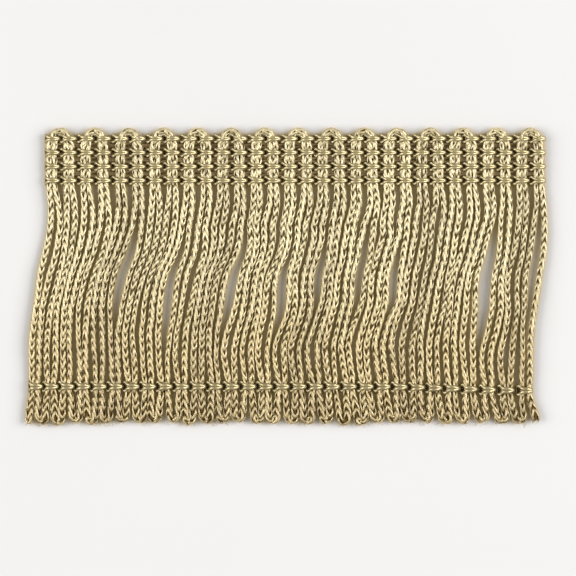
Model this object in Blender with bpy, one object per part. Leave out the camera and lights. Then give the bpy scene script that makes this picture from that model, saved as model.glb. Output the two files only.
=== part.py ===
"""Chainette fringe trim: a stitched heading, hanging cords and the chain that holds them near their ends.

Metres, +Z up. The trim lies face up on a flat surface at z = 0. X runs along the trim and +Y points to
the heading's looped edge. The origin is the middle of the trim's box, on the underside. Until the last
step all is drawn from the middle of the heading's lower edge, and a drop is a distance below that edge.
"""

import math
import random
from collections import namedtuple

import bmesh
import bpy

MM = 0.001

# Wales, the columns of two cords that each stitch of the heading takes in
WALE_COUNT = 30
WALE_PITCH = 4.25 * MM
TRIM_LENGTH = WALE_COUNT * WALE_PITCH
CORD_COUNT = 2 * WALE_COUNT
PIECE_GAP = 0.3 * MM

# The wales crowd a little towards the right between these shares of the length, and ease off again
WALE_DRIFT = 0.85 * MM
DRIFT_FULL = 0.32
DRIFT_FALL_START = 0.5
DRIFT_FALL_LENGTH = 0.35
DRIFT_FALL = 0.75

# Heading
ROW_COUNT = 4
ROW_PITCH = 3.5 * MM
FIRST_ROW_HEIGHT = 1.8 * MM
ROW_HALF_WIDTH = 0.9 * MM
LOOP_VALLEY_HEIGHT = 12.75 * MM
LOOP_CROWN_HEIGHT = 15.0 * MM
LOOP_HALF_WIDTH = 2.7 * MM
LOOP_THICKNESS = 1.9 * MM
RIB_OFFSET = 0.85 * MM
RIB_THICKNESS = 1.9 * MM
PAIR_GROOVE_THICKNESS = 1.6 * MM
WALE_GROOVE_THICKNESS = 0.9 * MM
CHAIN_THICKNESS = 1.8 * MM
KNOT_THICKNESS = 2.5 * MM
RIM_THICKNESS = 1.2 * MM
COLUMNS_PER_WALE = 4
LINES_PER_ROW = 3

# Cords, four-sided, wider at the foot than on top
CORD_FOOT_WIDTH = 1.4 * MM
CORD_TOP_WIDTH = 1.05 * MM
CORD_HEIGHT = 1.6 * MM
ROOT_STRIP_WIDTH = 1.2 * MM
ROOT_PAIR_OFFSET = 0.9 * MM
ROOT_PAIR_LENGTH = 9.0 * MM
FRINGE_DROP = 60.3 * MM
END_UNEVENNESS = 0.5 * MM
SECTION_DROPS = [drop * MM for drop in range(5, 50, 5)]

# Sway of the cords: a little to the right under the heading, then more than a wale to the left,
# though less at the trim's ends
BULGE = 0.9 * MM
BULGE_LENGTH = 22.0 * MM
SWAY = 5.4 * MM
SWAY_START = 8.0 * MM
SWAY_END = 43.0 * MM
SWAY_LOST_AT_LEFT_END = 0.25
SWAY_LOST_AT_RIGHT_END = 0.5

# Holding chain, which arches over each pair of cords
CHAIN_DROP = 50.6 * MM
CHAIN_DIP = 1.0 * MM
CHAIN_DIP_START = 0.4
CHAIN_HALF_WIDTH = 0.85 * MM
HELD_PAIR_OFFSET = 0.92 * MM
HELD_CORD_HEIGHT = 1.35 * MM
HELD_LENGTH = 1.3 * MM
TAIL_PAIR_OFFSET = 1.12 * MM
TAIL_LEAN = 1.3 * MM
ARCH_CROWN = 2.5 * MM
ARCH_SIDE = 2.2 * MM
LEG_CROWN = 1.8 * MM
LEG_SHOULDER = 1.1 * MM
END_LEG_WIDTH = 0.6 * MM

# Openings between cords: how many cords are to the left, the drops where it opens and closes, its width, mm
Opening = namedtuple("Opening", "cords_left top_drop bottom_drop width")
OPENINGS = (
    Opening(cords_left=1, top_drop=13.0, bottom_drop=30.5, width=0.8),
    Opening(cords_left=11, top_drop=10.0, bottom_drop=37.0, width=1.6),
    Opening(cords_left=17, top_drop=11.0, bottom_drop=43.0, width=1.8),
    Opening(cords_left=19, top_drop=10.0, bottom_drop=34.5, width=1.15),
    Opening(cords_left=24, top_drop=9.0, bottom_drop=41.0, width=2.0),
    Opening(cords_left=30, top_drop=16.5, bottom_drop=40.0, width=1.6),
    Opening(cords_left=34, top_drop=14.0, bottom_drop=33.0, width=1.7),
    Opening(cords_left=39, top_drop=8.5, bottom_drop=37.0, width=1.3),
    Opening(cords_left=40, top_drop=7.0, bottom_drop=17.5, width=0.7),
    Opening(cords_left=43, top_drop=12.5, bottom_drop=34.0, width=1.4),
    Opening(cords_left=45, top_drop=29.0, bottom_drop=48.5, width=1.0),
    Opening(cords_left=46, top_drop=11.5, bottom_drop=29.0, width=1.0),
    Opening(cords_left=47, top_drop=4.0, bottom_drop=13.0, width=0.5),
    Opening(cords_left=54, top_drop=8.0, bottom_drop=43.0, width=2.4),
    Opening(cords_left=57, top_drop=37.0, bottom_drop=49.5, width=0.6),
    Opening(cords_left=58, top_drop=18.5, bottom_drop=32.0, width=0.5),
    Opening(cords_left=59, top_drop=5.0, bottom_drop=30.5, width=1.2),
)

# Yarn colours, linear, and how glossy each piece is
Finish = namedtuple("Finish", "colour roughness")
HEADING_FINISH = Finish(colour=(0.50, 0.39, 0.20, 1.0), roughness=0.45)
CORD_FINISH = Finish(colour=(0.62, 0.50, 0.27, 1.0), roughness=0.35)
CHAIN_FINISH = Finish(colour=(0.42, 0.32, 0.16, 1.0), roughness=0.5)


def ease(amount):
    """0 to 1 with a soft start and a soft end."""
    held = min(max(amount, 0.0), 1.0)
    return held * held * (3.0 - 2.0 * held)


def hump(amount):
    """0 at both ends and 1 half way."""
    return math.sin(math.pi * min(max(amount, 0.0), 1.0))


def wale_drift(wale):
    """How far a wale stands to the right of its even place."""
    share = (wale + 0.5) / WALE_COUNT
    fallen = DRIFT_FALL * ease((share - DRIFT_FALL_START) / DRIFT_FALL_LENGTH)
    return WALE_DRIFT * ease(share / DRIFT_FULL) * (1.0 - fallen)


def wale_x(wale):
    """The middle of a wale in the heading."""
    return (wale + 0.5) * WALE_PITCH - TRIM_LENGTH / 2 + wale_drift(wale)


def opening_width(opening, drop):
    """How far the cords on both sides of an opening stand apart at a drop, beyond their even places."""
    length = (opening.bottom_drop - opening.top_drop) * MM
    return opening.width * MM * hump((drop - opening.top_drop * MM) / length)


def chain_drop(x):
    """The holding chain runs straight and dips towards the trim's right end."""
    along = x / (TRIM_LENGTH / 2)
    return CHAIN_DROP + CHAIN_DIP * ease((along - CHAIN_DIP_START) / (1.0 - CHAIN_DIP_START))


def pair_squeeze(drop, held_drop):
    """How far a cord lies inside its even place: drawn in at root and chain, spread at the tail."""
    even = WALE_PITCH / 4
    at_root = (even - ROOT_PAIR_OFFSET) * (1.0 - ease(drop / ROOT_PAIR_LENGTH))
    at_chain = (even - HELD_PAIR_OFFSET) * ease(1.0 - (held_drop - drop) / ROOT_PAIR_LENGTH)
    past = ease((drop - held_drop) / (FRINGE_DROP - held_drop))
    return at_root + at_chain + past * (HELD_PAIR_OFFSET - TAIL_PAIR_OFFSET)


def cord_x(cord, drop):
    """Where the middle of a cord lies at a drop: even places, pushed aside by the openings, then swayed."""
    widths = [(opening.cords_left, opening_width(opening, drop)) for opening in OPENINGS]
    pitch = (TRIM_LENGTH - sum(width for _, width in widths)) / CORD_COUNT
    x = (cord + 0.5) * pitch - TRIM_LENGTH / 2
    x += sum(width for cords_left, width in widths if cords_left <= cord)
    along = x / (TRIM_LENGTH / 2)
    held_drop = chain_drop(wale_x(cord // 2))
    squeeze = pair_squeeze(drop, held_drop)
    x += -squeeze if cord % 2 else squeeze
    x += wale_drift(cord // 2) * (1.0 - ease(drop / ROOT_PAIR_LENGTH))
    x += BULGE * hump(drop / BULGE_LENGTH)
    lost = (SWAY_LOST_AT_LEFT_END if along < 0.0 else SWAY_LOST_AT_RIGHT_END) * along**4
    x -= SWAY * (1.0 - lost) * ease((drop - SWAY_START) / (SWAY_END - SWAY_START))
    tail = ease((drop - held_drop - HELD_LENGTH) / (FRINGE_DROP - held_drop - HELD_LENGTH))
    return x + TAIL_LEAN * max(along, 0.0) * tail


def held_place(cord):
    """x and drop of the point where a cord passes under the holding chain."""
    held_drop = chain_drop(wale_x(cord // 2))
    return cord_x(cord, held_drop), held_drop


def yarn_material(name, finish):
    material = bpy.data.materials.new(name)
    material.use_nodes = True
    shader = material.node_tree.nodes["Principled BSDF"]
    shader.inputs["Base Color"].default_value = finish.colour
    shader.inputs["Roughness"].default_value = finish.roughness
    shader.inputs["Metallic"].default_value = 0.0
    return material


def add_object(name, bm, finish):
    """Turn a bmesh into a named object with its faces pointing out."""
    bmesh.ops.recalc_face_normals(bm, faces=bm.faces)
    mesh = bpy.data.meshes.new(name)
    bm.to_mesh(mesh)
    bm.free()
    mesh.materials.append(yarn_material(name, finish))
    piece = bpy.data.objects.new(name, mesh)
    bpy.context.scene.collection.objects.link(piece)
    return piece


def extruded(bm, face):
    """Extrude one face and return the new end face, still in the old one's place."""
    return bmesh.ops.extrude_discrete_faces(bm, faces=[face])["faces"][0]


def loop_arch(x):
    """0 beside the loops and 1 at a loop's crown, half way between the two wales that it joins."""
    crowns = [(wale_x(wale) + wale_x(wale + 1)) / 2 for wale in range(0, WALE_COUNT, 2)]
    from_crown = min(abs(x - crown) for crown in crowns)
    return math.sqrt(max(0.0, 1.0 - (from_crown / LOOP_HALF_WIDTH) ** 2))


def heading_columns():
    """Places across the heading: the groove before each wale, its two ribs and the groove between them."""
    offsets = (-WALE_PITCH / 2, -RIB_OFFSET, 0.0, RIB_OFFSET)
    columns = [wale_x(wale) + offset for wale in range(WALE_COUNT) for offset in offsets]
    return columns + [TRIM_LENGTH / 2]


def heading_lines(x):
    """Heights of the grid's lines above the lower edge: three to each row of chain, and the looped edge."""
    heights = [0.0]
    for row in range(ROW_COUNT):
        middle = FIRST_ROW_HEIGHT + row * ROW_PITCH
        heights += [middle - ROW_HALF_WIDTH, middle, middle + ROW_HALF_WIDTH]
    top = LOOP_VALLEY_HEIGHT + (LOOP_CROWN_HEIGHT - LOOP_VALLEY_HEIGHT) * loop_arch(x)
    heights[-1] = (heights[-2] + top) / 2
    return heights + [top]


def heading_thickness(column, line, last_line, arch):
    """Thickness at a grid point: ribs and grooves, rows of chain, a knot where a row meets a wale, loops."""
    thicknesses = (WALE_GROOVE_THICKNESS, RIB_THICKNESS, PAIR_GROOVE_THICKNESS, RIB_THICKNESS)
    place = column % COLUMNS_PER_WALE
    base = thicknesses[place]
    if arch > 0.0 and line >= last_line - 1:
        return RIM_THICKNESS if line == last_line else LOOP_THICKNESS
    if line in (0, last_line):
        return min(base, RIM_THICKNESS)
    if line % LINES_PER_ROW != LINES_PER_ROW - 1:
        return base
    on_knot = place == COLUMNS_PER_WALE // 2
    return KNOT_THICKNESS if on_knot else max(base, CHAIN_THICKNESS)


def make_heading():
    """The stitched band: a grid whose points carry ribs, chains and knots, with walls and a flat back."""
    columns = heading_columns()
    last_column = len(columns) - 1
    last_line = LINES_PER_ROW * ROW_COUNT + 1
    bm = bmesh.new()
    bmesh.ops.create_grid(bm, x_segments=last_column, y_segments=last_line, size=1.0)
    for vertex in bm.verts:
        column = round((vertex.co.x + 1.0) / 2.0 * last_column)
        line = round((vertex.co.y + 1.0) / 2.0 * last_line)
        x = columns[column]
        thickness = heading_thickness(column, line, last_line, loop_arch(x))
        vertex.co = (x, heading_lines(x)[line], thickness)
    rim = [edge for edge in bm.edges if edge.is_boundary]
    walls = bmesh.ops.extrude_edge_only(bm, edges=rim)["geom"]
    for vertex in (item for item in walls if isinstance(item, bmesh.types.BMVert)):
        vertex.co.z = 0.0
    bmesh.ops.holes_fill(bm, edges=[edge for edge in bm.edges if edge.is_boundary])
    return add_object("heading", bm, HEADING_FINISH)


def pull_cord(bm, face, cord, end_drop):
    """Draw one cord out of its face on the root strip, section by section, down to its end."""
    held, held_drop = held_place(cord)
    sections = [(cord_x(cord, drop), drop, CORD_HEIGHT) for drop in SECTION_DROPS]
    sections.append((held, held_drop - HELD_LENGTH, HELD_CORD_HEIGHT))
    sections.append((held, held_drop + HELD_LENGTH, HELD_CORD_HEIGHT))
    sections.append((cord_x(cord, end_drop), end_drop, CORD_HEIGHT))
    for x, drop, height in sections:
        middle = face.calc_center_median()
        face = extruded(bm, face)
        for vertex in face.verts:
            low = vertex.co.z < middle.z
            half = (CORD_FOOT_WIDTH if low else CORD_TOP_WIDTH) / 2
            side = -half if vertex.co.x < middle.x else half
            vertex.co = (x + side, -drop, 0.0 if low else height)


def make_fringe():
    """Sixty cords that stand apart, fused at their roots to a narrow strip below the heading."""
    bm = bmesh.new()
    bmesh.ops.create_cube(bm, size=1.0)
    starts = []
    for cord in range(CORD_COUNT):
        middle = wale_x(cord // 2) + (ROOT_PAIR_OFFSET if cord % 2 else -ROOT_PAIR_OFFSET)
        starts += [middle - CORD_FOOT_WIDTH / 2, middle + CORD_FOOT_WIDTH / 2]
    for vertex in bm.verts:
        vertex.co.x = starts[0] if vertex.co.x < 0.0 else starts[1]
        vertex.co.y = -PIECE_GAP - (ROOT_STRIP_WIDTH if vertex.co.y < 0.0 else 0.0)
        vertex.co.z = 0.0 if vertex.co.z < 0.0 else CORD_HEIGHT
    end = max(bm.faces, key=lambda face: face.calc_center_median().x)
    for start, next_start in zip(starts[1:], starts[2:]):
        end = extruded(bm, end)
        bmesh.ops.translate(bm, verts=end.verts, vec=(next_start - start, 0.0, 0.0))
    bm.normal_update()
    fronts = [face for face in bm.faces if face.normal.y < -0.5]
    fronts.sort(key=lambda face: face.calc_center_median().x)
    uneven = random.Random(5)
    for cord, root in enumerate(fronts[::2]):
        pull_cord(bm, root, cord, FRINGE_DROP + uneven.uniform(-END_UNEVENNESS, END_UNEVENNESS))
    return add_object("fringe_cords", bm, CORD_FINISH)


def chain_stations():
    """Sections of the holding chain: x, and the heights of its underside, shoulders and crown."""
    half_foot = CORD_FOOT_WIDTH / 2 + PIECE_GAP
    half_top = CORD_TOP_WIDTH / 2 + PIECE_GAP
    under = HELD_CORD_HEIGHT + PIECE_GAP
    shoulder = (under + ARCH_SIDE) / 2
    leg = (0.0, LEG_SHOULDER, LEG_CROWN)
    stations = []
    for wale in range(WALE_COUNT):
        left, _ = held_place(2 * wale)
        right, _ = held_place(2 * wale + 1)
        stations.append((left - half_foot, *leg))
        stations.append((left - half_top, under, shoulder, ARCH_SIDE))
        stations.append(((left + right) / 2, under, shoulder, ARCH_CROWN))
        stations.append((right + half_top, under, shoulder, ARCH_SIDE))
        stations.append((right + half_foot, *leg))
    first = (stations[0][0] - END_LEG_WIDTH, *leg)
    last = (stations[-1][0] + END_LEG_WIDTH, *leg)
    return [first, *stations, last]


def make_holding_chain():
    """The chain that holds the cords near their ends: an arch over each pair, a leg between pairs."""
    bm = bmesh.new()
    bmesh.ops.create_circle(bm, cap_ends=True, segments=5, radius=1.0)
    bm.faces.ensure_lookup_table()
    end = bm.faces[0]
    for number, (x, under, shoulder, crown) in enumerate(chain_stations()):
        if number:
            end = extruded(bm, end)
        middle = -chain_drop(x)
        low = middle - CHAIN_HALF_WIDTH
        high = middle + CHAIN_HALF_WIDTH
        corners = [(low, under), (high, under), (high, shoulder), (middle, crown), (low, shoulder)]
        for vertex, (y, z) in zip(end.verts, corners):
            vertex.co = (x, y, z)
    bmesh.ops.holes_fill(bm, edges=[edge for edge in bm.edges if edge.is_boundary])
    return add_object("holding_chain", bm, CHAIN_FINISH)


def centre_on_origin(pieces):
    """Slide all pieces together until the middle of their box is over the origin."""
    points = [vertex.co for piece in pieces for vertex in piece.data.vertices]
    middle_x = (min(point.x for point in points) + max(point.x for point in points)) / 2
    middle_y = (min(point.y for point in points) + max(point.y for point in points)) / 2
    for point in points:
        point.x -= middle_x
        point.y -= middle_y


for old in list(bpy.data.objects):
    bpy.data.objects.remove(old, do_unlink=True)
centre_on_origin([make_heading(), make_fringe(), make_holding_chain()])
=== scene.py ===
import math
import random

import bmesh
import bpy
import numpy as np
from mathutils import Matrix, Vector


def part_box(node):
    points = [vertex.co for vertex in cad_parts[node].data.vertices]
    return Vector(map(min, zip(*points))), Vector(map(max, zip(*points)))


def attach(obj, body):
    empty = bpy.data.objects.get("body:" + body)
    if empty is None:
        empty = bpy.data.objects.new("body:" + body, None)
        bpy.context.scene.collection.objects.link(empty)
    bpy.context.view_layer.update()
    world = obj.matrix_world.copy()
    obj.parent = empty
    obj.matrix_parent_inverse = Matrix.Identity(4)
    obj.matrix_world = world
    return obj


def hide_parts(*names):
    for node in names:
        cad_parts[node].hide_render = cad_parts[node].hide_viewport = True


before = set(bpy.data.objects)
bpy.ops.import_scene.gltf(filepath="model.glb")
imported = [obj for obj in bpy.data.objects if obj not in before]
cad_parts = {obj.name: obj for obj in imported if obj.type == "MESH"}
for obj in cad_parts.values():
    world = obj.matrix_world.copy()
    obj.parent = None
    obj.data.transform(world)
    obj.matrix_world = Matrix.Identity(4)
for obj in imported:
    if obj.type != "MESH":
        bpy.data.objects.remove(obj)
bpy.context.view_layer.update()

# %% [markdown]
# # Chainette fringe
# This lesson dresses a plain model of a fringe trim. The real trim is made of two things only.
# The first is chainette, a thin cord knitted as a narrow tube, which is laid up and down many times.
# The second is a sewing thread, which binds the cords in rows of chain stitch.
# So the scene makes the same two things, as long curves that follow the yarn itself. A plain strand
# inside each cord stands for its shaded inside, and fine short lines for the filaments that have broken.
# The box of the plain model's heading is read before anything is added, and the pieces are placed from it.

MM = 0.001
HEADING_LOW, HEADING_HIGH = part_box("heading")
MIDDLE_X = (HEADING_LOW.x + HEADING_HIGH.x) / 2
HEADING_EDGE_Y = HEADING_LOW.y
print("the middle of the heading's lower edge, mm:", round(MIDDLE_X / MM, 2), round(HEADING_EDGE_Y / MM, 2))

# %% [markdown]
# ## Where each cord lies
# Two cords side by side make a wale, the upright rib of the heading. There are 30 wales.
# The cords leave the heading in pairs, sway to the left on their way down, and open in places.
# These are the functions that shaped the plain model, with almost the same values, so both lie in the
# same place.
# A drop is a distance below the heading's lower edge, and a height is a distance above it.

# %% The measures of the wales, the sway and the openings
WALE_COUNT = 30
WALE_PITCH = 4.25 * MM
TRIM_LENGTH = WALE_COUNT * WALE_PITCH
CORD_COUNT = 2 * WALE_COUNT
FRINGE_DROP = 60.3 * MM
END_UNEVENNESS = 0.5 * MM
ROOT_PAIR_OFFSET = 0.74 * MM
ROOT_PAIR_LENGTH = 9.0 * MM
BULGE = 0.9 * MM
BULGE_LENGTH = 22.0 * MM
SWAY = 5.4 * MM
SWAY_START = 8.0 * MM
SWAY_END = 43.0 * MM
SWAY_LOST_AT_LEFT_END = 0.25
SWAY_LOST_AT_RIGHT_END = 0.5
CHAIN_DROP = 50.9 * MM
CHAIN_DIP = 1.0 * MM
CHAIN_DIP_START = 0.4
HELD_PAIR_OFFSET = 0.92 * MM
HELD_LENGTH = 1.3 * MM
TAIL_PAIR_OFFSET = 1.12 * MM
TAIL_LEAN = 1.3 * MM
WALE_DRIFT = 0.85 * MM
DRIFT_FULL = 0.32
DRIFT_FALL_START = 0.5
DRIFT_FALL_LENGTH = 0.35
DRIFT_FALL = 0.75

# The number of cords to the left of each opening, the drops where it opens and closes, its width, mm
OPENINGS = (
    (1, 13.0, 30.5, 0.8), (11, 10.0, 37.0, 1.6), (17, 11.0, 43.0, 1.8), (19, 10.0, 34.5, 1.15),
    (24, 9.0, 41.0, 2.0), (30, 16.5, 40.0, 1.6), (34, 14.0, 33.0, 1.7), (39, 8.5, 37.0, 1.3),
    (40, 7.0, 17.5, 0.7), (43, 12.5, 34.0, 1.4), (45, 29.0, 48.5, 1.0), (46, 11.5, 29.0, 1.0),
    (47, 4.0, 13.0, 0.5), (54, 8.0, 43.0, 2.4), (57, 37.0, 49.5, 0.6), (58, 18.5, 32.0, 0.5),
    (59, 5.0, 30.5, 1.2),
)


# %% Where a cord lies from left to right
def ease(amount):
    """0 to 1 with a soft start and a soft end."""
    held = min(max(amount, 0.0), 1.0)
    return held * held * (3.0 - 2.0 * held)


def hump(amount):
    """0 at both ends and 1 half way."""
    return math.sin(math.pi * min(max(amount, 0.0), 1.0))


def wale_drift(wale):
    """How far a wale stands to the right of its even place."""
    share = (wale + 0.5) / WALE_COUNT
    fallen = DRIFT_FALL * ease((share - DRIFT_FALL_START) / DRIFT_FALL_LENGTH)
    return WALE_DRIFT * ease(share / DRIFT_FULL) * (1.0 - fallen)


def wale_x(wale):
    """The middle of a wale in the heading."""
    return (wale + 0.5) * WALE_PITCH - TRIM_LENGTH / 2 + wale_drift(wale)


def opening_width(opening, drop):
    """How far an opening has pushed the cords apart at a drop."""
    _, top_drop, bottom_drop, width = opening
    return width * MM * hump((drop / MM - top_drop) / (bottom_drop - top_drop))


def chain_drop(x):
    """The holding chain runs straight and dips towards the trim's right end."""
    along = x / (TRIM_LENGTH / 2)
    return CHAIN_DROP + CHAIN_DIP * ease((along - CHAIN_DIP_START) / (1.0 - CHAIN_DIP_START))


def pair_squeeze(drop, held_drop):
    """How far a cord lies inside its even place: drawn in at root and chain, spread at the tail."""
    even = WALE_PITCH / 4
    at_root = (even - ROOT_PAIR_OFFSET) * (1.0 - ease(drop / ROOT_PAIR_LENGTH))
    at_chain = (even - HELD_PAIR_OFFSET) * ease(1.0 - (held_drop - drop) / ROOT_PAIR_LENGTH)
    past = ease((drop - held_drop) / (FRINGE_DROP - held_drop))
    return at_root + at_chain + past * (HELD_PAIR_OFFSET - TAIL_PAIR_OFFSET)


def cord_x(cord, drop):
    """Where the middle of a cord lies at a drop: even places, pushed aside by the openings, then swayed."""
    widths = [(opening[0], opening_width(opening, drop)) for opening in OPENINGS]
    pitch = (TRIM_LENGTH - sum(width for _, width in widths)) / CORD_COUNT
    x = (cord + 0.5) * pitch - TRIM_LENGTH / 2
    x += sum(width for cords_left, width in widths if cords_left <= cord)
    along = x / (TRIM_LENGTH / 2)
    held_drop = chain_drop(wale_x(cord // 2))
    squeeze = pair_squeeze(drop, held_drop)
    x += -squeeze if cord % 2 else squeeze
    x += wale_drift(cord // 2) * (1.0 - ease(drop / ROOT_PAIR_LENGTH))
    x += BULGE * hump(drop / BULGE_LENGTH)
    lost = (SWAY_LOST_AT_LEFT_END if along < 0.0 else SWAY_LOST_AT_RIGHT_END) * along**4
    x -= SWAY * (1.0 - lost) * ease((drop - SWAY_START) / (SWAY_END - SWAY_START))
    tail = ease((drop - held_drop - HELD_LENGTH) / (FRINGE_DROP - held_drop - HELD_LENGTH))
    return x + TAIL_LEAN * max(along, 0.0) * tail


print("the cords' ends reach from", round(cord_x(0, FRINGE_DROP) / MM, 1), "to",
      round(cord_x(CORD_COUNT - 1, FRINGE_DROP) / MM, 1), "mm")

# %% [markdown]
# ## The middle line of each hairpin
# In the real trim a cord runs up one wale, turns over the top of the heading and runs down the next.
# Two cords lie together, so every two wales make a pair of hairpins, one inside the other.
# Their crowns are the loops of the top edge, and at the foot each cord turns towards its neighbour.
# A hairpin is made as a list of places: x, y, z, and how wide the cord is there against its even width.
# The cords could also be drawn one by one, but sixty cords from a few measures lie evenly and are quick
# to change.

# %% The slow wander and the grip of the holding chain
CORD_LIFT = 1.2 * MM
HEADING_LIFT = 1.22 * MM
CHAIN_GRIP = 0.30 * MM
CHAIN_GRIP_LENGTH = 1.9 * MM
WANDER_ACROSS = 0.42 * MM
WANDER_UP = 0.17 * MM
WANDER_LENGTH = 23.0 * MM
STILL_LENGTH = 8.0 * MM
# How far each wave turns along the wander's length, and its share of the whole
LONG_WAVE = (2.9, 0.6)
SHORT_WAVE = (6.1, 0.4)
WAVE_START = 5.0
loose = random.Random(5)
END_DROPS = [FRINGE_DROP + loose.uniform(-END_UNEVENNESS, END_UNEVENNESS) for _ in range(CORD_COUNT)]
WAVES = [[loose.uniform(-1.0, 1.0) for _ in range(6)] for _ in range(CORD_COUNT)]


def wander(cord, drop, which, reach):
    """A slow random wave along a cord, which is still at the heading and at the holding chain."""
    free = ease(drop / STILL_LENGTH) * ease((CHAIN_DROP - drop) / STILL_LENGTH)
    first, second, third = WAVES[cord][3 * which:3 * which + 3]
    phase = drop / WANDER_LENGTH
    long_wave = LONG_WAVE[1] * math.sin(LONG_WAVE[0] * phase + WAVE_START * first)
    short_wave = SHORT_WAVE[1] * math.sin(SHORT_WAVE[0] * phase + WAVE_START * second)
    return reach * free * (long_wave + short_wave * third)


def grip(cord, drop):
    """1 where the holding chain passes over a cord, falling to 0 on both sides."""
    held_drop = chain_drop(wale_x(cord // 2))
    return math.exp(-((drop - held_drop) / CHAIN_GRIP_LENGTH) ** 2)


# %% One cord from its foot to the heading
PLAIN_STEP = 1.0 * MM
ROOT_LENGTH = 3.0 * MM
WIDTH_LOST_WHERE_HELD = 0.16
WIDTH_GAINED_AT_TAIL = 0.38
TAIL_SPREAD_LENGTH = 7.0 * MM
TAIL_WANDER = 0.5 * MM
TURN_DEPTH = 1.0 * MM
TURN_WIDTH = 1.35
TURN_ANGLES = (0.0, 0.5, 1.0)
TURN_ABOVE_END = 0.8 * MM
TURN_TO_CORD = 0.4 * MM
LONE_END_DRAWN_IN = 0.3 * MM


def cord_place(cord, drop):
    """x, y, z and width of a cord at a drop."""
    held = grip(cord, drop)
    tail = ease((drop - chain_drop(wale_x(cord // 2))) / TAIL_SPREAD_LENGTH)
    inwards = -1.0 if cord % 2 else 1.0
    x = cord_x(cord, drop) + inwards * CHAIN_GRIP * held + wander(cord, drop, 0, WANDER_ACROSS)
    x += TAIL_WANDER * WAVES[(cord + 1) // 2][2] * tail
    z = CORD_LIFT + wander(cord, drop, 1, WANDER_UP)
    root = 1.0 - ease(drop / ROOT_LENGTH)
    z += (HEADING_LIFT - CORD_LIFT) * root
    width = 1.0 - WIDTH_LOST_WHERE_HELD * max(held, root) + WIDTH_GAINED_AT_TAIL * tail
    return x, -drop, z, width


def cord_foot(cord):
    """The end of a cord, which turns towards the nearest cord of the wale beside it."""
    neighbour = cord + (1 if cord % 2 else -1)
    if not 0 <= neighbour < CORD_COUNT:
        end = END_DROPS[cord] - LONE_END_DRAWN_IN
        return [cord_place(cord, end)], end - PLAIN_STEP
    low = (END_DROPS[cord] + END_DROPS[neighbour]) / 2 - TURN_ABOVE_END
    here, there = cord_place(cord, low), cord_place(neighbour, low)
    middle = (here[0] + there[0]) / 2
    reach = here[0] - middle
    turn = []
    for angle in TURN_ANGLES:
        x = middle + reach * math.sin(angle)
        turn.append((x, -low + TURN_DEPTH * (1.0 - math.cos(angle)), here[2], TURN_WIDTH))
    return turn, low - TURN_DEPTH - TURN_TO_CORD


def cord_up(cord):
    """Places from the foot of a cord up to the heading's lower edge."""
    places, start = cord_foot(cord)
    count = round(start / PLAIN_STEP)
    return places + [cord_place(cord, start * (count - step) / count) for step in range(count)]


# %% Up through the heading and over the top
ROW_COUNT = 4
ROW_PITCH = 3.54 * MM
FIRST_ROW_HEIGHT = 1.38 * MM
ROW_HEIGHTS = [FIRST_ROW_HEIGHT + row * ROW_PITCH for row in range(ROW_COUNT)]
RIB_OFFSET = 0.56 * MM
RIB_WAIST = 0.15 * MM
RIB_RISE = 0.1 * MM
RIB_WIDTH = 0.84
RIB_WIDTH_LOST = 0.05
HEADING_STEP = 0.6 * MM
HEADING_STEPS = 17
LOOP_HEIGHT = 12.1 * MM
LOOP_STEPS = 6
# How far a crown reaches to each side, how far up from LOOP_HEIGHT, and its lift off the surface, mm
INNER_CROWN = (1.28, 1.25, 0.78)
OUTER_CROWN = (1.95, 1.95, 1.62)


def heading_place(cord, height):
    """A cord between the rows of chain: drawn in under each row and bulging between the rows."""
    wale = cord // 2
    side = 1.0 if cord % 2 else -1.0
    in_row = math.cos(2 * math.pi * (height - ROW_HEIGHTS[0]) / ROW_PITCH)
    offset = RIB_OFFSET - RIB_WAIST * in_row
    offset += (ROOT_PAIR_OFFSET - offset) * (1.0 - ease(height / MM))
    x = wale_x(wale) + side * offset
    return x, height, HEADING_LIFT - RIB_RISE * in_row, RIB_WIDTH - RIB_WIDTH_LOST * in_row


def loop_place(pair, inner, angle):
    """The crown of a hairpin, an arch between two wales. The outer cord lies over the inner one."""
    across, along, lift = INNER_CROWN if inner else OUTER_CROWN
    middle = (wale_x(2 * pair) + wale_x(2 * pair + 1)) / 2
    x = middle - across * MM * math.cos(angle)
    return x, LOOP_HEIGHT + along * MM * math.sin(angle), lift * MM, RIB_WIDTH


def hairpin(pair, inner):
    """One whole cord: up a wale, over the top and down the next wale."""
    left = 4 * pair + (1 if inner else 0)
    right = 4 * pair + (2 if inner else 3)
    heights = [HEADING_STEP * step for step in range(1, HEADING_STEPS + 1)]
    up = cord_up(left) + [heading_place(left, height) for height in heights]
    down = cord_up(right) + [heading_place(right, height) for height in heights]
    crown = [loop_place(pair, inner, math.pi * step / LOOP_STEPS) for step in range(LOOP_STEPS + 1)]
    return np.array(up + crown + down[::-1])


HAIRPINS = [hairpin(pair, inner) for pair in range(WALE_COUNT // 2) for inner in (True, False)]
print(len(HAIRPINS), "hairpins of about", len(HAIRPINS[0]), "places each")

# %% [markdown]
# ## Knitting the cords
# Chainette is a tube of only a few stitches round, knitted in a spiral from one glossy yarn.
# It could be a plain tube with a bump pattern, but its loops stand as high as the yarn is thick, so
# the outline and the small dark holes would be missing. Here one curve follows the yarn through every loop.
# A loop is a wave along the cord while the yarn goes round it. Where the wave turns, the yarn dips inside.

# %% Smooth lines and their directions
POINTS_PER_PLACE = 8
UP = (0.0, 0.0, 1.0)


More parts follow.
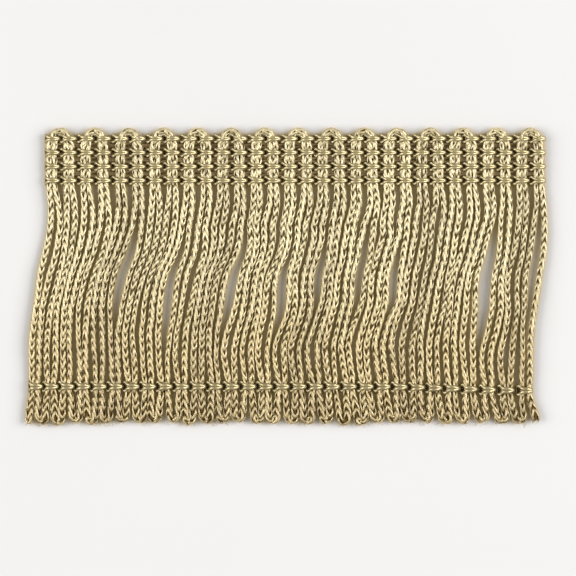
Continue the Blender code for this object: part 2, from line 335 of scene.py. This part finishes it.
def smooth_line(places, step):
    """A smooth curve through the places, with points an even step apart along it."""
    ends = np.vstack([2 * places[0] - places[1], places, 2 * places[-1] - places[-2]])
    before, start, end, after = ends[:-3], ends[1:-2], ends[2:-1], ends[3:]
    fine = []
    for t in np.linspace(0.0, 1.0, POINTS_PER_PLACE, endpoint=False):
        bend = 2 * before - 5 * start + 4 * end - after
        twist = 3 * start - before - 3 * end + after
        fine.append(0.5 * (2 * start + (end - before) * t + bend * t**2 + twist * t**3))
    line = np.stack(fine, axis=1).reshape(-1, places.shape[1])
    line = np.vstack([line, places[-1]])
    lengths = np.concatenate([[0.0], np.cumsum(np.linalg.norm(np.diff(line[:, :3], axis=0), axis=1))])
    marks = np.linspace(0.0, lengths[-1], max(2, round(lengths[-1] / step)) + 1)
    return np.column_stack([np.interp(marks, lengths, column) for column in line.T]), lengths[-1]


def unit(vectors):
    """The same directions, each of length 1."""
    return vectors / np.linalg.norm(vectors, axis=1, keepdims=True)


def sides_and_ups(line):
    """For each point of a line that lies nearly level: the direction to its right, and its own up."""
    along = unit(np.gradient(line[:, :3], axis=0))
    sides = unit(np.cross(along, UP))
    return sides, np.cross(sides, along)


def faced(points, outwards, painted_light_mask):
    """Points of a yarn, each with the direction that its flat face looks in, square to the yarn, and its
    painted-light mask: 1 where the yarn lies on top, 0 where it dives under its neighbours and is painted
    dark as shade."""
    along = unit(np.gradient(points, axis=0))
    square = outwards - (outwards * along).sum(axis=1, keepdims=True) * along
    return np.column_stack([points, unit(square), np.broadcast_to(painted_light_mask, len(points))])


# %% The path of the yarn
COURSE = 2.15 * MM
STITCHES_ROUND = 2
POINTS_PER_LOOP = 14
YARN_HALF_WIDTH = 0.34 * MM
YARN_HALF_THICKNESS = 0.23 * MM
TUBE_HALF_WIDTH = 0.72 * MM
TUBE_HALF_THICKNESS = 0.52 * MM
LOOP_DIP = 0.40
LOOP_REACH = 1.45
LOOP_LEAN = -0.25
LOOP_SLACK = 0.14
STITCH_DRIFT = 0.10 * MM
SLOW_TURN = 0.55
SLOW_TURN_LENGTH = 8.0 * MM
CORD_STEP = 0.25 * MM
TURNED_SPREAD = 0.55
MOST_TWIST = 8.0
# Slow waves against the turn of the loops, and how far each cord's own turn shifts their starts
SLACK_WAVES = (0.37, 1.13)
DRIFT_WAVES = (0.17, 0.29)
SLACK_START = 9.0
DRIFT_START = 7.0
TURN_START = 5.0


def knitted(places, turned, twist):
    """The yarn's points along one cord. The flat tube's face is turned from straight up by turned at the
    cord's start, and by twist more for each metre."""
    line, length = smooth_line(places, CORD_STEP)
    sides, ups = sides_and_ups(line)
    loops = round(length / COURSE * STITCHES_ROUND)
    t = np.linspace(0.0, 2 * math.pi * loops, loops * POINTS_PER_LOOP + 1)
    uneven = np.sin(SLACK_WAVES[0] * t + SLACK_START * turned) + np.sin(SLACK_WAVES[1] * t)
    slack = 1.0 + LOOP_SLACK * uneven
    drift = np.sin(DRIFT_WAVES[0] * t + DRIFT_START * turned) + np.sin(DRIFT_WAVES[1] * t)
    even = t / t[-1] * length + STITCH_DRIFT * drift
    along = even + LOOP_REACH * COURSE / 2 * slack * np.cos(t)
    along = np.clip(along, 0.0, length)
    marks = np.linspace(0.0, length, len(line))
    middle, side, up = (
        np.column_stack([np.interp(along, marks, column) for column in table.T])
        for table in (line, sides, ups)
    )
    face = turned + twist * along + SLOW_TURN * np.sin(along / SLOW_TURN_LENGTH + TURN_START * turned)
    cos_face, sin_face = np.cos(face)[:, None], np.sin(face)[:, None]
    wide = middle[:, 3:] * cos_face * side + sin_face * up
    thin = cos_face * up - middle[:, 3:] * sin_face * side
    angle = (t + LOOP_LEAN * np.sin(2 * t)) / STITCHES_ROUND
    out_wide, out_thin = np.cos(angle)[:, None] * wide, np.sin(angle)[:, None] * thin
    dip = (1.0 - LOOP_DIP * np.cos(t)[:, None] ** 2)
    points = middle[:, :3] + dip * (TUBE_HALF_WIDTH * out_wide + TUBE_HALF_THICKNESS * out_thin)
    outwards = TUBE_HALF_THICKNESS * out_wide + TUBE_HALF_WIDTH * out_thin
    # The last value is the painted-light mask: sin² is 0 at the loops' heads and feet, where the yarn
    # dives, and the finish paints the yarn dark as shade there.
    return faced(points, outwards, np.sin(t) ** 2)


spin = random.Random(11)
YARNS = [knitted(places, spin.gauss(0.0, TURNED_SPREAD), spin.uniform(-MOST_TWIST, MOST_TWIST))
         for places in HAIRPINS]
print(sum(len(yarn) for yarn in YARNS), "points of yarn")

# %% [markdown]
# ## From curves to pieces
# A curve object holds the lines, and Geometry Nodes sweeps a small ring along them. A curve's own bevel
# could do that too, but it leaves no values on the mesh for the finish to read.
# Before the sweep each point keeps its distance along the yarn, its yarn's own tone and its mask for
# painted shade, and each point of the ring keeps its place round the yarn. The finish reads all four, so it
# follows the yarn.
# The swept mesh is then taken as the finished piece, and the curve is thrown away.

# %% The sweep, as a node group
def sweep_group(lines_object, half_width, half_thickness, ring_points):
    """Nodes that sweep a flat ring along the lines, with its flat face to each point's outward side."""
    group = bpy.data.node_groups.new("sweep", "GeometryNodeTree")
    group.interface.new_socket("Geometry", in_out="INPUT", socket_type="NodeSocketGeometry")
    group.interface.new_socket("Geometry", in_out="OUTPUT", socket_type="NodeSocketGeometry")

    def add(kind, settings=(), **values):
        node = group.nodes.new(kind)
        for name, value in dict(settings).items():
            setattr(node, name, value)
        for name, value in values.items():
            socket = node.inputs[name.replace("_", " ")]
            if isinstance(value, bpy.types.NodeSocket):
                group.links.new(value, socket)
            else:
                socket.default_value = value
        return node.outputs

    def store(name, kind, geometry, value):
        settings = {"data_type": kind, "domain": "POINT"}
        values = {"Geometry": geometry, "Name": name, "Value": value}
        return add("GeometryNodeStoreNamedAttribute", settings, **values)[0]

    drawn = add("GeometryNodeObjectInfo", Object=lines_object)["Geometry"]
    lines = add("GeometryNodeCurveSplineType", {"spline_type": "POLY"}, Curve=drawn)[0]
    outwards = add("GeometryNodeInputNamedAttribute", {"data_type": "FLOAT_VECTOR"}, Name="outwards")[0]
    lines = add("GeometryNodeSetCurveNormal", {"mode": "FREE"}, Curve=lines, Normal=outwards)[0]
    distance = add("GeometryNodeSplineParameter")["Length"]
    lines = store("along", "FLOAT", lines, distance)
    number = add("GeometryNodeCurveOfPoint")["Curve Index"]
    tone = add("FunctionNodeRandomValue", {"data_type": "FLOAT"}, ID=number)[1]
    lines = store("tone", "FLOAT", lines, tone)
    ring = add("GeometryNodeCurvePrimitiveCircle", Resolution=ring_points, Radius=1.0)["Curve"]
    ring = store("around", "FLOAT_VECTOR", ring, add("GeometryNodeInputPosition")[0])
    ring = add("GeometryNodeTransform", Geometry=ring, Scale=(half_thickness, half_width, 1.0))[0]
    swept = add("GeometryNodeCurveToMesh", Curve=lines, Profile_Curve=ring, Fill_Caps=True)[0]
    add("NodeGroupOutput", Geometry=swept)
    return group


def yarn_piece(name, lines, half_width, half_thickness, ring_points):
    """A mesh piece from lines of yarn given from the middle of the heading's lower edge."""
    table = np.vstack(lines)
    curves = bpy.data.hair_curves.new(name)
    curves.add_curves([len(line) for line in lines])
    places = table[:, :3] + (MIDDLE_X, HEADING_EDGE_Y, 0.0)
    curves.position_data.foreach_set("vector", places.astype(np.float32).ravel())
    outwards = curves.attributes.new("outwards", "FLOAT_VECTOR", "POINT")
    outwards.data.foreach_set("vector", table[:, 3:6].astype(np.float32).ravel())
    painted_light_mask = curves.attributes.new("painted_light_mask", "FLOAT", "POINT")
    painted_light_mask.data.foreach_set("value", table[:, 6].astype(np.float32))
    drawn = bpy.data.objects.new(name + "_lines", curves)
    piece = bpy.data.objects.new(name, bpy.data.meshes.new(name))
    for made in (drawn, piece):
        bpy.context.scene.collection.objects.link(made)
    sweep = piece.modifiers.new("sweep", "NODES")
    sweep.node_group = sweep_group(drawn, half_width, half_thickness, ring_points)
    mesh = bpy.data.meshes.new_from_object(piece.evaluated_get(bpy.context.evaluated_depsgraph_get()))
    piece.modifiers.clear()
    piece.data = mesh
    mesh.name = name
    bpy.data.objects.remove(drawn)
    mesh.polygons.foreach_set("use_smooth", [True] * len(mesh.polygons))
    mesh.calc_loop_triangles()
    print(name, "has", len(mesh.loop_triangles), "triangles")
    return piece


# %% Make the cords
YARN_RING = 6
# Six hairpins have about 143,000 triangles, and a piece should stay under 200,000
HAIRPINS_PER_PIECE = 6
cords = []
for number, first in enumerate(range(0, len(YARNS), HAIRPINS_PER_PIECE), start=1):
    lines = YARNS[first:first + HAIRPINS_PER_PIECE]
    piece = yarn_piece(f"chainette_cords_{number}", lines, YARN_HALF_WIDTH, YARN_HALF_THICKNESS, YARN_RING)
    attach(piece, "root")
    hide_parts("fringe_cords")
    cords.append(piece)

# %% [markdown]
# ## Loose filaments
# The cords' ends are rubbed, so their lower edge looks a little hazy. Fine broken filaments stand out.
# Each is a short bent line. Hair curves would do too, but a few thin swept lines export with the rest.

# %% Make the filaments
FILAMENTS_PER_CORD = 16
FILAMENT_RADIUS = 0.035 * MM
FILAMENT_RING = 3
# Least and most, mm: a filament's root past the end of its cord, beside its middle line, and its height
ROOT_PAST_END = (-3.5, 0.2)
ROOT_BESIDE = (-0.8, 0.8)
ROOT_HEIGHT = (0.5, 1.9)
# Least and most of each of its two short stretches, mm: to the right, down along the cord, and up
FIRST_STRETCH = ((-0.6, 0.6), (0.1, 0.5), (-0.1, 0.2))
SECOND_STRETCH = ((-0.5, 0.5), (0.0, 0.3), (-0.4, 0.0))
rubbed = random.Random(23)


def filament_stretch(limits):
    """A random step, as x, y and z."""
    right, down, up = (rubbed.uniform(least, most) for least, most in limits)
    return np.array([right, -down, up]) * MM


def filament(cord):
    """A short line from the side of a cord near its end, leaning out and down."""
    drop = END_DROPS[cord] + rubbed.uniform(*ROOT_PAST_END) * MM
    x = cord_place(cord, drop)[0] + rubbed.uniform(*ROOT_BESIDE) * MM
    start = np.array([x, -drop, rubbed.uniform(*ROOT_HEIGHT) * MM])
    first = filament_stretch(FIRST_STRETCH)
    second = filament_stretch(SECOND_STRETCH)
    points = np.array([start, start + first, start + first + second])
    return faced(points, np.tile(UP, (3, 1)), 1.0)


filaments = [filament(cord) for cord in range(CORD_COUNT) for _ in range(FILAMENTS_PER_CORD)]
fuzz = yarn_piece("loose_filaments", filaments, FILAMENT_RADIUS, FILAMENT_RADIUS, FILAMENT_RING)
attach(fuzz, "root")
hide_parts("fringe_cords")

# %% [markdown]
# ## The inside of the cords
# Between the loops one looks into the tube, at the back of its far wall, which is brown and in shade.
# The whole far wall would cost as much as the near one, so a plain dark strand inside stands for it.

# %% Make the insides
INSIDE_RADIUS = 0.34 * MM
INSIDE_STEP = 1.1 * MM
INSIDE_RING = 5
inside_lines = []
for places in HAIRPINS:
    line, _ = smooth_line(places, INSIDE_STEP)
    inside_lines.append(faced(line[:, :3], sides_and_ups(line)[1], 1.0))
insides = yarn_piece("cord_insides", inside_lines, INSIDE_RADIUS, INSIDE_RADIUS, INSIDE_RING)
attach(insides, "root")
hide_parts("fringe_cords")

# %% [markdown]
# ## The chain stitch
# A thread runs under the cords. Between two wales a hook pulls a loop of it up, lays it over a wale and
# holds it there with the next loop. From above each link is a drop: its round head lies about the hole,
# its two legs cross the wale side by side, and its tip goes down into the next hole.
# Copies of one link would be less work, but each would end in the air. So one curve follows the thread
# through all the links of a row, under the wale and up again.

# %% One link and one row
THREAD_HALF_WIDTH = 0.41 * MM
THREAD_HALF_THICKNESS = 0.21 * MM
THREAD_RING = 6
THREAD_STEP = 0.22 * MM
# Half a link in mm from the middle of its wale: x across the wale, y from the row's line, height
HALF_LINK = (
    (1.98, 0.02, 0.40), (1.92, 0.04, 0.95), (1.72, 0.08, 1.42), (1.35, 0.18, 1.70), (0.90, 0.27, 1.95),
    (0.42, 0.32, 2.15), (-0.40, 0.32, 2.15), (-0.88, 0.35, 1.95), (-1.22, 0.48, 1.70), (-1.48, 0.68, 1.42),
    (-1.80, 0.86, 1.20), (-2.08, 0.90, 1.00), (-2.26, 0.66, 0.70),
)
HEAD_END = (-2.30, 0.0, 0.50)
UNDER = (0.0, 0.0, 0.30)
BUNDLE_HEIGHT = 0.9
FACE_LEAN = 0.4
FULL_REACH = 3.0
END_REACH = 1.65
# Heights between which the thread goes from full painted shade, low under the cords, to its own colour
THREAD_PAINTED_SHADE_BELOW = 0.5 * MM
THREAD_PAINTED_LIGHT_ABOVE = 1.3 * MM


def link_places(x, y, spread, lift, left_reach, right_reach):
    """The places of one link, out over the wale, round the head, back, and under to the next hole.
    Each is followed by the direction that the thread's face looks in, away from the bundle's middle."""
    back = [(across, -beside, height) for across, beside, height in reversed(HALF_LINK)]
    places = []
    for across, beside, height in (*HALF_LINK, HEAD_END, *back, UNDER):
        held = min(max(across, -left_reach), right_reach)
        place = (x + held * MM, y + beside * spread * MM, height * lift * MM)
        places.append((*place, across, FACE_LEAN * beside * spread, height - BUNDLE_HEIGHT))
    return places


def chain_row(middles, heights, spread=1.0, lift=1.0):
    """A whole row of chain, worked from right to left. The links at its ends are tucked in."""
    places = []
    last = len(middles) - 1
    for wale in reversed(range(len(middles))):
        left_reach = END_REACH if wale == 0 else FULL_REACH
        right_reach = END_REACH if wale == last else FULL_REACH
        places += link_places(middles[wale], heights[wale], spread, lift, left_reach, right_reach)
    line, _ = smooth_line(np.array(places), THREAD_STEP)
    # Painted shade: the lower the thread lies, the darker the finish paints it.
    painted_light_mask = np.clip((line[:, 2] - THREAD_PAINTED_SHADE_BELOW) / (THREAD_PAINTED_LIGHT_ABOVE - THREAD_PAINTED_SHADE_BELOW), 0.0, 1.0)
    return faced(line[:, :3], line[:, 3:], painted_light_mask)


# %% The four rows of the heading
WALES = [wale_x(wale) for wale in range(WALE_COUNT)]
rows = [chain_row(WALES, [height] * WALE_COUNT) for height in ROW_HEIGHTS]
heading_chain = yarn_piece("heading_chain", rows, THREAD_HALF_WIDTH, THREAD_HALF_THICKNESS, THREAD_RING)
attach(heading_chain, "root")
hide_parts("heading")

# %% [markdown]
# ## The backing threads
# Behind the cords plain threads run along the heading and keep its width. From the front they show only
# as brown lines in the slots between two wales. Their dark brown is partly their own colour and partly
# painted shade of the slots. They are nearly straight, so each is a line of few points.

# %% Make the backing threads
BACKING_HEIGHTS = [height * MM for height in (2.7, 3.5, 4.3, 6.3, 7.1, 7.9, 9.8, 10.6, 11.4)]
BACKING_LIFT = 0.55 * MM
BACKING_RADIUS = 0.42 * MM
BACKING_RING = 6
BACKING_STEP = 1.0 * MM
BACKING_WAVE = 0.25 * MM
BACKING_WAVE_LENGTH = 1.3 * MM
WAVE_SHIFT = 2.1
backing_lines = []
for row, height in enumerate(BACKING_HEIGHTS):
    steps = round(TRIM_LENGTH / BACKING_STEP)
    xs = np.linspace(wale_x(0) - RIB_OFFSET, wale_x(WALE_COUNT - 1) + RIB_OFFSET, steps)
    ys = height + BACKING_WAVE * np.sin(xs / BACKING_WAVE_LENGTH + WAVE_SHIFT * row)
    points = np.column_stack([xs, ys, np.full(steps, BACKING_LIFT)])
    backing_lines.append(faced(points, np.tile(UP, (steps, 1)), 1.0))
backing = yarn_piece("heading_backing", backing_lines, BACKING_RADIUS, BACKING_RADIUS, BACKING_RING)
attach(backing, "root")
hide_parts("heading")

# %% [markdown]
# ## The holding chain
# One more row of the same stitch runs across the cords near their feet. It keeps them in order until the
# trim is used, and then it is pulled out. It is made as the heading's rows are, but its links pass over
# cords that lie looser, so they are a little wider, higher and of fuller thread.

# %% The chain that holds the cords near their feet
HOLDING_SPREAD = 1.3
HOLDING_LIFT = 1.04
HOLDING_FULLNESS = 1.2
held_middles = []
held_heights = []
for wale in range(WALE_COUNT):
    drop = chain_drop(wale_x(wale))
    held_middles.append((cord_x(2 * wale, drop) + cord_x(2 * wale + 1, drop)) / 2)
    held_heights.append(-drop)
holding_row = chain_row(held_middles, held_heights, HOLDING_SPREAD, HOLDING_LIFT)
holding_chain = yarn_piece("holding_chain_stitches", [holding_row], HOLDING_FULLNESS * THREAD_HALF_WIDTH,
                           THREAD_HALF_THICKNESS, THREAD_RING)
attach(holding_chain, "root")
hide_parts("holding_chain")

# %% [markdown]
# ## Writing a finish as sums
# A finish is a network of small nodes. It is easier to read as arithmetic, so one small class holds
# a socket and lets Python's own signs add the nodes. One more method adds any other kind of node.

# %% A socket that can be used in sums
class Wire:
    """One output socket. Each sign used on it adds a Math node to its material."""

    def __init__(self, finish, socket):
        self.finish = finish
        self.socket = socket

    def _math(self, operation, first, second):
        return self.finish.node("ShaderNodeMath", {"operation": operation}, {0: first, 1: second})

    def __add__(self, other):
        return self._math("ADD", self, other)

    def __sub__(self, other):
        return self._math("SUBTRACT", self, other)

    def __rsub__(self, other):
        return self._math("SUBTRACT", other, self)

    def __mul__(self, other):
        return self._math("MULTIPLY", self, other)

    __radd__ = __add__
    __rmul__ = __mul__


class Finish:
    """A material and the method that adds its nodes."""

    def __init__(self, name):
        self.material = bpy.data.materials.new(name)
        self.material.use_nodes = True
        self.tree = self.material.node_tree
        self.shader = self.tree.nodes["Principled BSDF"]

    def fill(self, socket, value):
        """Links a socket to a wire, or sets it to a plain value."""
        if isinstance(value, Wire):
            self.tree.links.new(value.socket, socket)
        else:
            socket.default_value = value

    def node(self, kind, settings, values, output=0):
        """Adds a node: its settings first, then its sockets. Gives back one of its outputs."""
        node = self.tree.nodes.new(kind)
        for name, value in settings.items():
            setattr(node, name, value)
        for name, value in values.items():
            self.fill(node.inputs[name], value)
        return Wire(self, node.outputs[output])

    def blend(self, amount, first, second):
        """A mix of two colours."""
        values = {0: amount, 6: first, 7: second}
        return self.node("ShaderNodeMix", {"data_type": "RGBA"}, values, 2)

    def ramped(self, value, low, high):
        """0 below low, 1 above high, and smooth between them."""
        settings = {"interpolation_type": "SMOOTHSTEP"}
        return self.node("ShaderNodeMapRange", settings, {0: value, 1: low, 2: high})


# %% [markdown]
# ## Glossy yarn
# The cord's yarn is a bundle of fine shiny filaments with hardly any twist. The light runs along it in
# thin streaks, and these are painted into its colour as well: cream on the raised filaments and dark gold
# in the hollows, a painted sheen and painted shade over the filaments' own uneven tone. The underside of
# the yarn and the places where it dives under its neighbours are painted dark as shade. Some stretches of
# cord are browner, and the lower part of the fringe is browner altogether, most of all at its rubbed ends.
# The streaks are noise that is drawn out along the yarn. They drive the colour, the gloss and a fine bump.
# An image could hold such streaks too, but noise along the yarn needs no unwrapping and never repeats.

# %% The streaks, the browner stretches and the browner end
STREAKS_PER_METRE = 900.0
STREAKS_ROUND = (2.6, 2.6, 0.0)
STREAK_NOISE = {"Scale": 1.6, "Detail": 3.0}
PATCHES_PER_METRE = 60.0
PATCH_NOISE = {"Scale": 1.0, "Detail": 1.0}
# How far the noise of one yarn lies from that of another
STREAK_SHIFT = 50.0
PATCH_SHIFT = 90.0
PATCH_SHARE = 0.65
TONE_SHARE = 0.35
# Where each value starts to count, and where it counts in full
STREAK_RANGE = (0.30, 0.72)
PATCH_RANGE = (0.38, 0.64)
PAINTED_UNDERSIDE_SHADE_RANGE = (-0.4, 0.7)
PAINTED_LIGHT_MASK_RANGE = (-0.35, 0.5)
WORN_BELOW = HEADING_EDGE_Y - 54.0 * MM
HANDLED_BELOW = HEADING_EDGE_Y - 50.0 * MM
CLEAN_ABOVE = HEADING_EDGE_Y - 12.0 * MM


def kept(finish, name, output="Fac"):
    """A value that the sweep kept on the mesh."""
    return finish.node("ShaderNodeAttribute", {"attribute_name": name}, {}, output)


def streaks(finish, twist):
    """Noise drawn out along the yarn and round it, turned with the yarn's twist."""
    angle = kept(finish, "along") * (2 * math.pi * twist)
    turned = finish.node("ShaderNodeVectorRotate", {"rotation_type": "Z_AXIS"},
                         {"Vector": kept(finish, "around", "Vector"), "Angle": angle})
    far = kept(finish, "along") * STREAKS_PER_METRE + kept(finish, "tone") * STREAK_SHIFT
    place = finish.node("ShaderNodeVectorMath", {"operation": "MULTIPLY_ADD"},
                        {0: turned, 1: STREAKS_ROUND, 2: finish.node("ShaderNodeCombineXYZ", {}, {2: far})})
    return finish.node("ShaderNodeTexNoise", {}, {"Vector": place, **STREAK_NOISE})


def clean_stretches(finish):
    """1 on the paler stretches and yarns, 0 on the browner ones."""
    far = kept(finish, "along") * PATCHES_PER_METRE + kept(finish, "tone") * PATCH_SHIFT
    place = finish.node("ShaderNodeCombineXYZ", {}, {2: far})
    patches = finish.node("ShaderNodeTexNoise", {}, {"Vector": place, **PATCH_NOISE})
    return finish.ramped(patches * PATCH_SHARE + kept(finish, "tone") * TONE_SHARE, *PATCH_RANGE)


def painted_light_and_shade(finish):
    """Painted light and shade: 1 on the outward side of the yarn's raised loops, 0 on the underside and
    where the yarn dives, where the colour is painted dark.
    """
    around_x = finish.node("ShaderNodeSeparateXYZ", {}, {0: kept(finish, "around", "Vector")}, "X")
    return finish.ramped(around_x, *PAINTED_UNDERSIDE_SHADE_RANGE) * finish.ramped(kept(finish, "painted_light_mask"), *PAINTED_LIGHT_MASK_RANGE)


# %% Finish of yarn and thread
STREAK_BUMP = 0.05 * MM
BUMP_STRENGTH = 0.7
YARN_IOR = 1.6
ROUGHER_IN_HOLLOWS = 0.14
BROWN_SHARE = 0.50
HANDLED_SHARE = 0.15
WORN_SHARE = 0.10
TINT_LOST_ON_STREAKS = 0.6
NO_TINT = (1.0, 1.0, 1.0, 1.0)


def yarn_finish(name, shades, twist, roughness, metallic, specular, tint=NO_TINT):
    """shades are the yarn's dark, middle and light colours, twist is in turns for each metre, and tint
    is the colour that the lower part of the fringe is multiplied by."""
    finish = Finish(name)
    filaments = streaks(finish, twist)
    # The streaks are partly the filaments' own uneven tone and partly painted sheen: lighter where the bump
    # is high, darker in its hollows.
    shade = finish.ramped(filaments, *STREAK_RANGE)
    dark, middle, light = shades
    colour = finish.blend(shade, middle, light)
    colour = finish.blend(BROWN_SHARE - clean_stretches(finish) * BROWN_SHARE, colour, dark)
    # Painted shade: the yarn's underside and the places where it dives are painted its dark colour.
    colour = finish.blend(painted_light_and_shade(finish), dark, colour)
    spot = finish.node("ShaderNodeTexCoord", {}, {}, "Object")
    height = finish.node("ShaderNodeSeparateXYZ", {}, {0: spot}, "Y")
    handled = 1.0 - finish.ramped(height, HANDLED_BELOW, CLEAN_ABOVE)
    worn = 1.0 - finish.ramped(height, WORN_BELOW, HANDLED_BELOW)
    colour = finish.blend(handled * HANDLED_SHARE + worn * WORN_SHARE, colour, dark)
    # The tint is kept off the light streaks, which are partly painted sheen.
    colour = finish.node("ShaderNodeMix", {"data_type": "RGBA", "blend_type": "MULTIPLY"},
                         {0: handled * (1.0 - shade * TINT_LOST_ON_STREAKS), 6: colour, 7: tint}, 2)
    ridges = finish.node("ShaderNodeBump", {}, {"Strength": BUMP_STRENGTH, "Distance": STREAK_BUMP,
                                                "Height": filaments})
    finish.fill(finish.shader.inputs["Base Color"], colour)
    finish.fill(finish.shader.inputs["Roughness"], roughness + (1.0 - shade) * ROUGHER_IN_HOLLOWS)
    finish.fill(finish.shader.inputs["Normal"], ridges)
    finish.shader.inputs["Metallic"].default_value = metallic
    finish.shader.inputs["IOR"].default_value = YARN_IOR
    finish.shader.inputs["Specular IOR Level"].default_value = specular
    return finish.material


# %% The four finishes
# The light colour of each is partly painted sheen on the streaks. The dark one is also the painted shade of
# undersides and dips.
CORD_SHADES = ((0.11, 0.068, 0.012, 1.0), (0.27, 0.205, 0.068, 1.0), (0.62, 0.545, 0.335, 1.0))
THREAD_SHADES = ((0.09, 0.058, 0.015, 1.0), (0.20, 0.156, 0.062, 1.0), (0.42, 0.35, 0.18, 1.0))
INSIDE_SHADES = ((0.06, 0.032, 0.004, 1.0), (0.09, 0.052, 0.008, 1.0), (0.13, 0.08, 0.015, 1.0))
# The backing thread's colours are partly its own and partly painted shade of the slots it lies in.
BACKING_COLOURS_WITH_PAINTED_SHADE = ((0.08, 0.046, 0.013, 1.0), (0.155, 0.105, 0.040, 1.0), (0.23, 0.165, 0.075, 1.0))
HANDLED_TINT = (0.86, 0.75, 0.50, 1.0)
YARN_TWIST = 60.0
THREAD_TWIST = 160.0
cord_finish = yarn_finish("rayon_yarn", CORD_SHADES, YARN_TWIST, roughness=0.28, metallic=0.30,
                          specular=0.9, tint=HANDLED_TINT)
thread_finish = yarn_finish("binding_thread", THREAD_SHADES, THREAD_TWIST, roughness=0.28, metallic=0.60,
                            specular=0.9)
inside_finish = yarn_finish("yarn_in_shade", INSIDE_SHADES, YARN_TWIST, roughness=0.6, metallic=0.0,
                            specular=0.1)
backing_finish = yarn_finish("backing_thread_with_painted_shade", BACKING_COLOURS_WITH_PAINTED_SHADE, YARN_TWIST, roughness=0.5, metallic=0.0,
                             specular=0.2)
for piece in (*cords, fuzz):
    piece.data.materials.append(cord_finish)
for piece in (heading_chain, holding_chain):
    piece.data.materials.append(thread_finish)
insides.data.materials.append(inside_finish)
backing.data.materials.append(backing_finish)
finishes = (cord_finish, thread_finish, inside_finish, backing_finish)
print("the yarns' finishes:", ", ".join(finish.name for finish in finishes))

# %% [markdown]
# ## Floor, light and camera
# The trim lies face up on a plain pale surface and is seen from straight above.
# Light that has passed between the yarns comes back brown, so where the yarns cover the floor its colour is
# painted brown and darker: painted shade and painted bounced light.
# Two soft lights stand to the trim's right and left. Yarns that run up and down catch them, and threads
# that run across stay dull, which is what makes each binding stitch look like a small dull square.

# %% Floor
FLOOR_SIZE = 3.0
FLOOR_BELOW_TRIM = 0.02 * MM
FLOOR_SHADES = ((0.428, 0.418, 0.411, 1.0), (0.452, 0.442, 0.434, 1.0))
PAINTED_SHADE_NEAR_YARN = (0.46, 0.335, 0.105, 1.0)
SHADED_WITHIN = 3.0 * MM
PAINTED_SHADE_OPEN_RANGE = (0.30, 0.84)
bm = bmesh.new()
bmesh.ops.create_grid(bm, x_segments=1, y_segments=1, size=FLOOR_SIZE / 2)
floor_mesh = bpy.data.meshes.new("floor")
bm.to_mesh(floor_mesh)
bm.free()
floor = bpy.data.objects.new("floor", floor_mesh)
bpy.context.scene.collection.objects.link(floor)
floor.location.z = -FLOOR_BELOW_TRIM
paper = Finish("pale_surface")
spot = paper.node("ShaderNodeTexCoord", {}, {}, "Object")
mottle = paper.node("ShaderNodeTexNoise", {}, {"Vector": spot, "Scale": 6.0, "Detail": 2.0})
plain = paper.blend(mottle, *FLOOR_SHADES)
# Painted shade: where the occlusion finds yarn close, the floor's colour is painted brown.
openness = paper.node("ShaderNodeAmbientOcclusion", {"samples": 8}, {"Distance": SHADED_WITHIN}, "AO")
floor_with_painted_shade = paper.blend(paper.ramped(openness, *PAINTED_SHADE_OPEN_RANGE), PAINTED_SHADE_NEAR_YARN, plain)
paper.fill(paper.shader.inputs["Base Color"], floor_with_painted_shade)
paper.shader.inputs["Roughness"].default_value = 0.7
floor_mesh.materials.append(paper.material)

# %% Lights
LIGHT_WIDTH = 0.9
LIGHT_HEIGHT = 0.8
ROOM_LIGHT = 0.6


def soft_light(name, place, power):
    """A wide lamp that faces the trim."""
    data = bpy.data.lights.new(name, "AREA")
    data.shape = "RECTANGLE"
    data.size = LIGHT_WIDTH
    data.size_y = LIGHT_HEIGHT
    data.energy = power
    lamp = bpy.data.objects.new(name, data)
    bpy.context.scene.collection.objects.link(lamp)
    lamp.location = place
    lamp.rotation_euler = (-Vector(place)).to_track_quat("-Z", "Y").to_euler()


soft_light("light_right", (1.0, 0.10, 0.72), power=24.0)
soft_light("light_left", (-1.0, 0.05, 0.68), power=19.0)
world = bpy.data.worlds.new("soft_room")
world.use_nodes = True
world.node_tree.nodes["Background"].inputs["Color"].default_value = (1.0, 1.0, 1.0, 1.0)
world.node_tree.nodes["Background"].inputs["Strength"].default_value = ROOM_LIGHT
bpy.context.scene.world = world
bpy.context.scene.view_settings.view_transform = "Standard"

# %% Camera
MM_PER_PIXEL = 0.254
FRAME_PIXELS = 576
FRAME_MIDDLE_X = MIDDLE_X - 1.7145 * MM
FRAME_MIDDLE_Y = HEADING_EDGE_Y - 25.908 * MM
CAMERA_HEIGHT = 1.1
SENSOR_WIDTH = 36.0
CLIP_END = 10.0
camera_data = bpy.data.cameras.new("camera")
camera_data.sensor_width = SENSOR_WIDTH
camera_data.lens = SENSOR_WIDTH * CAMERA_HEIGHT / (MM_PER_PIXEL * MM * FRAME_PIXELS)
camera_data.clip_end = CLIP_END
camera = bpy.data.objects.new("camera", camera_data)
bpy.context.scene.collection.objects.link(camera)
camera.location = (FRAME_MIDDLE_X, FRAME_MIDDLE_Y, CAMERA_HEIGHT)
bpy.context.scene.camera = camera
print("the lens is", round(camera_data.lens), "mm long")
